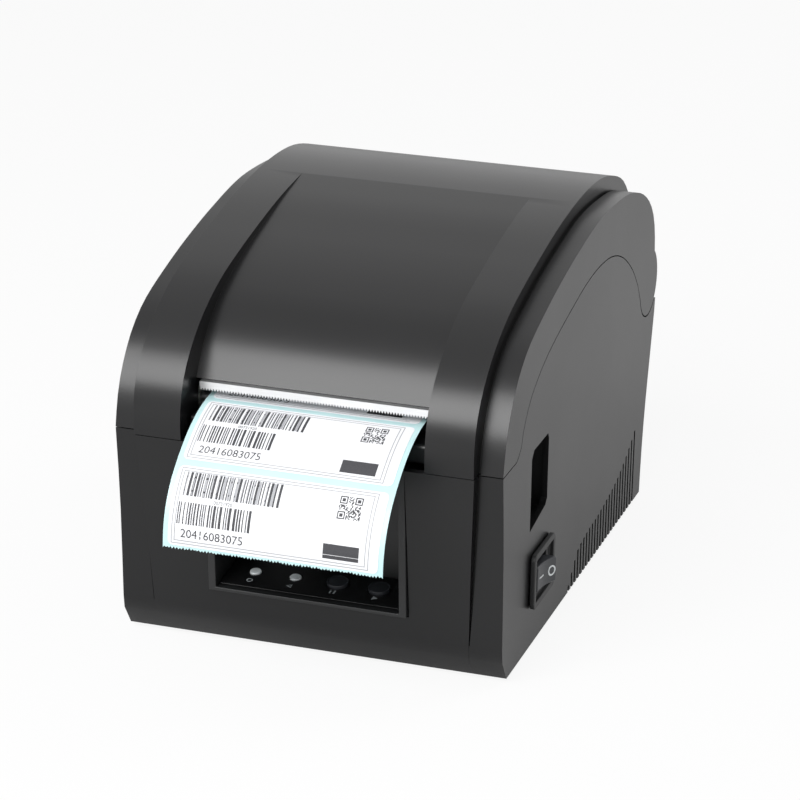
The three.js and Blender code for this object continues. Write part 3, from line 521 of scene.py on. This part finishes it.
def flat_label(name, start, length):
    """One label in the flat: a plate with round corners, cut across so that it can bend."""
    bpy.ops.object.select_all(action="DESELECT")
    bpy.ops.mesh.primitive_plane_add(size=1)
    piece = bpy.context.object
    piece.name = name
    piece.data.transform(Matrix.Translation((0, start + length / 2, 0.05 * MM))
                         @ Matrix.Diagonal((2 * LABEL_HALF, length, 1, 1)))
    bpy.ops.object.mode_set(mode="EDIT")
    bpy.ops.mesh.select_all(action="SELECT")
    bpy.ops.mesh.bevel(offset=2 * MM, segments=5, affect="VERTICES")
    cuts = max(int(length / (2.2 * MM)), 2)
    for i in range(1, cuts):
        bpy.ops.mesh.select_all(action="SELECT")
        bpy.ops.mesh.bisect(plane_co=(0, start + length * i / cuts, 0), plane_no=(0, 1, 0))
    bpy.ops.mesh.select_all(action="SELECT")
    bpy.ops.mesh.extrude_region_move(TRANSFORM_OT_translate={"value": (0, 0, 0.08 * MM)})
    bpy.ops.mesh.select_all(action="SELECT")
    bpy.ops.mesh.normals_make_consistent(inside=False)
    bpy.ops.object.mode_set(mode="OBJECT")
    return piece


labels = []
start = FIRST_LABEL
while start < strip_length - 8 * MM:
    length = min(LABEL_LENGTH, strip_length - start)
    label = flat_label(f"label_{len(labels) + 1}", start, length)
    lay_on_strip(label)
    select_only(label)
    bpy.ops.object.shade_smooth_by_angle(angle=math.radians(40))
    label.data.materials.append(label_paper)
    labels.append(label)
    start += LABEL_PITCH


# The print on one label: frame lines, two rows of made-up bars, plain digits, a block of
# random cells and a solid bar. Each mark is (left, right, low, high) in millimetres.
random.seed(21)


def bars(left, right, low, high):
    marks = []
    x = left
    while x < right - 0.9:
        width = random.choice((0.4, 0.4, 0.6, 0.95))
        marks.append((x, x + width, low, high))
        x += width + random.choice((0.4, 0.45, 0.6, 0.95))
    return marks


def cell_block(left, low, size, count):
    """Three corner eyes and random cells between them: it holds no message."""
    cell = size / count
    marks = []
    for i in range(count):
        for j in range(count):
            corner = (i < 8 and j > count - 9) or (i < 8 and j < 8) or (i > count - 9 and j > count - 9)
            if not corner and random.random() < 0.48:
                marks.append((left + i * cell, left + (i + 1) * cell, low + j * cell, low + (j + 1) * cell))
    for i, j in ((0, 0), (0, count - 7), (count - 7, count - 7)):
        x, y = left + i * cell, low + j * cell
        marks += [(x, x + 7 * cell, y, y + cell), (x, x + 7 * cell, y + 6 * cell, y + 7 * cell)]
        marks += [(x, x + cell, y + cell, y + 6 * cell), (x + 6 * cell, x + 7 * cell, y + cell, y + 6 * cell)]
        marks.append((x + 2 * cell, x + 5 * cell, y + 2 * cell, y + 5 * cell))
    return marks


def frame_lines(left, right, low, high, width):
    return [(left, right, low, low + width), (left, right, high - width, high),
            (left, left + width, low + width, high - width),
            (right - width, right, low + width, high - width)]


black_marks = bars(-36.2, 1.7, 18.6, 27.6) + bars(-37, -8.0, 8.2, 16.2)
black_marks += cell_block(22.6, 17.9, 8.6, 21)
grey_marks = frame_lines(-38.8, 36.4, 0.8, 29.2, 0.34)
grey_marks += frame_lines(-37.7, 35.1, 1.9, 28.1, 0.34)
grey_marks += bars(-36, 1.3, 18.8, 27.4)[::2]
block_marks = [(19.1, 32.6, 3.2, 8.6)]
DIGITS = (("20416083075", -35.3, 3.4, 4.4), ("00731920", -24, 16.7, 1.8))


def print_layer(name, marks, label_start, material, digits=()):
    """Lays marks and digits on the strip as thin ink that follows its bend."""
    bpy.ops.object.select_all(action="DESELECT")
    bpy.ops.mesh.primitive_plane_add(size=1)
    piece = bpy.context.object
    piece.name = name
    bpy.ops.object.mode_set(mode="EDIT")
    bpy.ops.mesh.select_all(action="SELECT")
    bpy.ops.mesh.delete(type="VERT")
    bpy.ops.object.mode_set(mode="OBJECT")
    corners = []
    faces = []
    for left, right, low, high in marks:
        slices = max(int((high - low) / 2), 1)
        first = len(corners)
        for k in range(slices + 1):
            y = low + (high - low) * k / slices
            corners += [(left * MM, y * MM, 0), (right * MM, y * MM, 0)]
        rows = (first + 2 * k for k in range(slices))
        faces += [(row, row + 1, row + 3, row + 2) for row in rows]
    piece.data.from_pydata(corners, [], faces)
    parts = [piece]
    for text, x, y, height in digits:
        bpy.ops.object.text_add()
        line = bpy.context.object
        line.data.body = text
        line.data.size = height * MM
        line.data.resolution_u = 3
        select_only(line)
        bpy.ops.object.convert(target="MESH")
        line.data.transform(Matrix.Translation((x * MM, y * MM, 0)))
        parts.append(line)
    bpy.ops.object.select_all(action="DESELECT")
    for part in parts:
        part.select_set(True)
    bpy.context.view_layer.objects.active = piece
    if len(parts) > 1:
        bpy.ops.object.join()
    piece.data.transform(Matrix.Translation((0, label_start, 0.16 * MM)))
    lay_on_strip(piece)
    piece.data.materials.clear()
    piece.data.materials.append(material)
    return piece


prints = []
for i in range(2):
    origin = FIRST_LABEL + i * LABEL_PITCH
    prints.append(print_layer(f"print_black_{i + 1}", black_marks, origin, print_black, DIGITS))
    prints.append(print_layer(f"print_grey_{i + 1}", grey_marks, origin, print_grey))
    prints.append(print_layer(f"print_block_{i + 1}", block_marks, origin, print_black))
# The third label has only just left the head: its lower edge and digits show.
origin = FIRST_LABEL + 2 * LABEL_PITCH
lower_marks = [m for m in grey_marks if m[3] < 3]
prints.append(print_layer("print_black_3", block_marks, origin, print_black, DIGITS[:1]))
prints.append(print_layer("print_grey_3", lower_marks, origin, print_grey))
for piece in [liner] + labels + prints:
    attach(piece, "base")
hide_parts("label_strip")


# ---- Label roll ----
# Wound on a kraft core: the side shows the edges of the liner as fine rings.
roll_edge = new_material("paper_roll_edge")
where = add(roll_edge, "ShaderNodeTexCoord")
centred = add(roll_edge, "ShaderNodeMapping", Vector=(where, "Object"),
              Location=(0.0, -roll_axis.y, -roll_axis.z))
apart = add(roll_edge, "ShaderNodeSeparateXYZ", Vector=(centred, "Vector"))
flat_place = add(roll_edge, "ShaderNodeCombineXYZ", X=(apart, "Y"), Y=(apart, "Z"))
away = add(roll_edge, "ShaderNodeVectorMath", {"operation": "LENGTH"}, Vector=(flat_place, "Vector"))
rings = add(roll_edge, "ShaderNodeTexNoise", {"noise_dimensions": "1D"}, W=(away, "Value"),
            Scale=1 / (0.5 * MM), Detail=2.0)
tint = add(roll_edge, "ShaderNodeValToRGB", Fac=(rings, "Fac"))
tint.color_ramp.elements[0].position = 0.35
tint.color_ramp.elements[0].color = linear("#cfe3e2")
tint.color_ramp.elements[1].position = 0.65
tint.color_ramp.elements[1].color = linear("#f1f3f2")
shell = add(roll_edge, "ShaderNodeBsdfPrincipled", Base_Color=(tint, "Color"), Roughness=0.7)
add(roll_edge, "ShaderNodeOutputMaterial", Surface=(shell, "BSDF"))

kraft = new_material("kraft_board")
where = add(kraft, "ShaderNodeTexCoord")
fibre = add(kraft, "ShaderNodeTexNoise", Vector=(where, "Object"), Scale=900.0, Detail=6.0)
tint = add(kraft, "ShaderNodeValToRGB", Fac=(fibre, "Fac"))
tint.color_ramp.elements[0].color = linear("#8d6b45")
tint.color_ramp.elements[1].color = linear("#b8946a")
shell = add(kraft, "ShaderNodeBsdfPrincipled", Base_Color=(tint, "Color"), Roughness=0.85)
add(kraft, "ShaderNodeOutputMaterial", Surface=(shell, "BSDF"))

fine_copy("label_roll", "wound_labels", roll_edge, width=0)
fine_copy("roll_core", "kraft_core", kraft, width=0.3)
for i in range(7):
    # Labels on the outer turn, each bent round the roll.
    label = flat_label(f"roll_label_{i + 1}", 0, LABEL_LENGTH)
    begin = math.radians(118) + (i + 0.15) * LABEL_PITCH / roll_radius
    for vertex in label.data.vertices:
        angle = begin + vertex.co.y / roll_radius
        radius = roll_radius + vertex.co.z - 0.03 * MM
        vertex.co = Vector((case_zero.x + vertex.co.x, roll_axis.y + radius * math.cos(angle),
                            roll_axis.z + radius * math.sin(angle)))
    select_only(label)
    bpy.ops.object.mode_set(mode="EDIT")
    bpy.ops.mesh.select_all(action="SELECT")
    bpy.ops.mesh.normals_make_consistent(inside=False)
    bpy.ops.object.mode_set(mode="OBJECT")
    bpy.ops.object.shade_smooth_by_angle(angle=math.radians(40))
    label.data.materials.append(label_paper)
    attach(label, "roll")


# ---- Roll holders, platen drive, latch and print head ----
for side in ("left", "right"):
    fine_copy(f"roll_holder_{side}", f"holder_disc_{side}", key_abs, width=0.6, segments=3)

# Zinc-plated sheet steel, faintly spangled.
zinc = new_material("steel_zinc_plated")
where = add(zinc, "ShaderNodeTexCoord")
spangle = add(zinc, "ShaderNodeTexVoronoi", Vector=(where, "Object"), Scale=420.0)
haze = add(zinc, "ShaderNodeMapRange", Value=(spangle, "Distance"), To_Min=0.32, To_Max=0.5)
shell = add(zinc, "ShaderNodeBsdfPrincipled", Base_Color=linear("#a9acb0"), Metallic=1.0,
            Roughness=(haze, "Result"))
add(zinc, "ShaderNodeOutputMaterial", Surface=(shell, "BSDF"))

rubber = new_material("rubber_ground")
where = add(rubber, "ShaderNodeTexCoord")
pores = add(rubber, "ShaderNodeTexNoise", Vector=(where, "Object"), Scale=2600.0, Detail=3.0)
pitted = add(rubber, "ShaderNodeBump", Height=(pores, "Fac"), Strength=0.3, Distance=0.04 * MM)
shell = add(rubber, "ShaderNodeBsdfPrincipled", Base_Color=linear("#161718"), Roughness=0.78,
            Normal=(pitted, "Normal"))
add(rubber, "ShaderNodeOutputMaterial", Surface=(shell, "BSDF"))

acetal = new_material("acetal_natural")
where = add(acetal, "ShaderNodeTexCoord")
cloud = add(acetal, "ShaderNodeTexNoise", Vector=(where, "Object"), Scale=90.0)
tint = add(acetal, "ShaderNodeValToRGB", Fac=(cloud, "Fac"))
tint.color_ramp.elements[0].color = linear("#dcdad0")
tint.color_ramp.elements[1].color = linear("#ebe9e1")
shell = add(acetal, "ShaderNodeBsdfPrincipled", Base_Color=(tint, "Color"), Roughness=0.38, IOR=1.48)
add(acetal, "ShaderNodeOutputMaterial", Surface=(shell, "BSDF"))

aluminium = new_material("aluminium_extruded")
where = add(aluminium, "ShaderNodeTexCoord")
streak = add(aluminium, "ShaderNodeMapping", Vector=(where, "Object"), Scale=(40.0, 1800.0, 1800.0))
lines = add(aluminium, "ShaderNodeTexNoise", Vector=(streak, "Vector"), Scale=1.0, Detail=3.0)
haze = add(aluminium, "ShaderNodeMapRange", Value=(lines, "Fac"), To_Min=0.3, To_Max=0.46)
shell = add(aluminium, "ShaderNodeBsdfPrincipled", Base_Color=linear("#c4c6c8"), Metallic=1.0,
            Roughness=(haze, "Result"))
add(aluminium, "ShaderNodeOutputMaterial", Surface=(shell, "BSDF"))

board_green = new_material("solder_resist_green")
where = add(board_green, "ShaderNodeTexCoord")
traces = add(board_green, "ShaderNodeTexBrick", Vector=(where, "Object"), Scale=160.0,
             Color1=linear("#1b5237"), Color2=linear("#1f5c3e"), Mortar=linear("#2d7450"))
shell = add(board_green, "ShaderNodeBsdfPrincipled", Base_Color=(traces, "Color"), Roughness=0.4)
add(board_green, "ShaderNodeOutputMaterial", Surface=(shell, "BSDF"))

for node in ("chassis", "latch_catch_left", "latch_catch_right", "head_carrier"):
    fine_copy(node, node + "_plate", zinc, width=0.25)
fine_copy("stepper_motor", "motor_can", zinc, width=0.5)
for node in ("platen_gear", "idler_gear"):
    fine_copy(node, node + "_wheel", acetal, width=0.12, segments=1, angle=50)
for side in ("left", "right"):
    fine_copy(f"platen_bush_{side}", f"platen_bush_{side}_ring", acetal, width=0.25)
    fine_copy(f"lid_striker_{side}", f"striker_bracket_{side}", zinc, width=0.3)
    fine_copy(f"hinge_pin_{side}", f"hinge_pin_{side}_turned", steel, width=0.3)
fine_copy("motor_pinion", "pinion_wheel", steel, width=0.1, segments=1, angle=50)
for node in ("platen_shaft", "motor_shaft", "idler_post", "latch_shaft"):
    fine_copy(node, node + "_turned", steel, width=0.3)
fine_copy("platen_roller", "platen_sleeve", rubber, width=0.5)
fine_copy("head_heatsink", "heatsink_bar", aluminium, width=0.3)
fine_copy("print_head", "head_ceramic", inner_abs, width=0.2)
fine_copy("data_socket", "data_socket_shell", steel, width=0.3)
fine_copy("control_board", "control_circuit", board_green, width=0.15)
fine_copy("key_board", "key_circuit", board_green, width=0.15)
for i in (1, 2):
    coil = fine_copy(f"head_spring_{i}", f"head_coil_{i}", steel, width=0)
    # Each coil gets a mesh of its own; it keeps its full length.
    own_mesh(coil)
for i in (1, 2, 3, 4):
    fine_copy(f"rubber_foot_{i}", f"foot_pad_{i}", rubber, width=0.5, segments=3)
    fine_copy(f"bottom_screw_{i}", f"case_screw_{i}", steel, width=0.3)


# ---- Studio ----
# A white sweep under a white sky: both are plain white to the eye and in reflections, and
# lend the piece only part of their light, so that its own shadow still shows on the floor.
bpy.ops.mesh.primitive_plane_add(size=12, location=(0, 2, 0))
floor = bpy.context.object
floor.name = "floor"
white = new_material("white_sweep")
ray = add(white, "ShaderNodeLightPath")
seen = add(white, "ShaderNodeMath", {"operation": "MULTIPLY"}, _0=(ray, "Is Camera Ray"), _1=0.9)
share = add(white, "ShaderNodeMath", {"operation": "MULTIPLY_ADD"}, _0=(ray, "Is Glossy Ray"), _1=0.2,
            _2=(seen, "Value"))
matt = add(white, "ShaderNodeBsdfDiffuse", Color=linear("#d8d8d8"))
glow = add(white, "ShaderNodeEmission", Color=(1, 1, 1, 1), Strength=1.0)
blend = add(white, "ShaderNodeMixShader", _0=(share, "Value"), _1=(matt, "BSDF"), _2=(glow, "Emission"))
add(white, "ShaderNodeOutputMaterial", Surface=(blend, "Shader"))
floor.data.materials.append(white)

world = bpy.data.worlds.new("studio")
world.use_nodes = True
world.node_tree.nodes.clear()
ray = add(world, "ShaderNodeLightPath")
seen = add(world, "ShaderNodeMath", {"operation": "MAXIMUM"},
           _0=(ray, "Is Camera Ray"), _1=(ray, "Is Glossy Ray"))
seen = add(world, "ShaderNodeMath", {"operation": "MAXIMUM"},
           _0=(seen, "Value"), _1=(ray, "Is Transmission Ray"))
dim = add(world, "ShaderNodeBackground", Color=(1, 1, 1, 1), Strength=0.3)
bright = add(world, "ShaderNodeBackground", Color=(1, 1, 1, 1), Strength=1.0)
choice = add(world, "ShaderNodeMixShader", _0=(seen, "Value"),
             _1=(dim, "Background"), _2=(bright, "Background"))
add(world, "ShaderNodeOutputWorld", Surface=(choice, "Shader"))
bpy.context.scene.world = world


def softbox(name, place, target, size, power):
    light = bpy.data.lights.new(name, "AREA")
    light.shape = "RECTANGLE"
    light.size, light.size_y = size
    light.energy = power
    lamp = bpy.data.objects.new(name, light)
    bpy.context.scene.collection.objects.link(lamp)
    lamp.location = place
    lamp.rotation_euler = (Vector(target) - Vector(place)).to_track_quat("-Z", "Y").to_euler()
    return lamp


softbox("front", (-0.3, -1.2, 1.06), (0, 0, 0.08), (1.2, 1.0), 34)
# These two only light the floor and the paper; they leave no sheen on the black.
for name, place, target, size, power in (
        ("right_back", (1.2, 1.1, 1.0), (0.25, 0.35, 0), (0.8, 0.8), 9),
        ("overhead", (0, 0.3, 2.2), (0, 0.3, 0), (2.4, 2.4), 7)):
    softbox(name, place, target, size, power).visible_glossy = False

bpy.context.scene.view_settings.view_transform = "Standard"
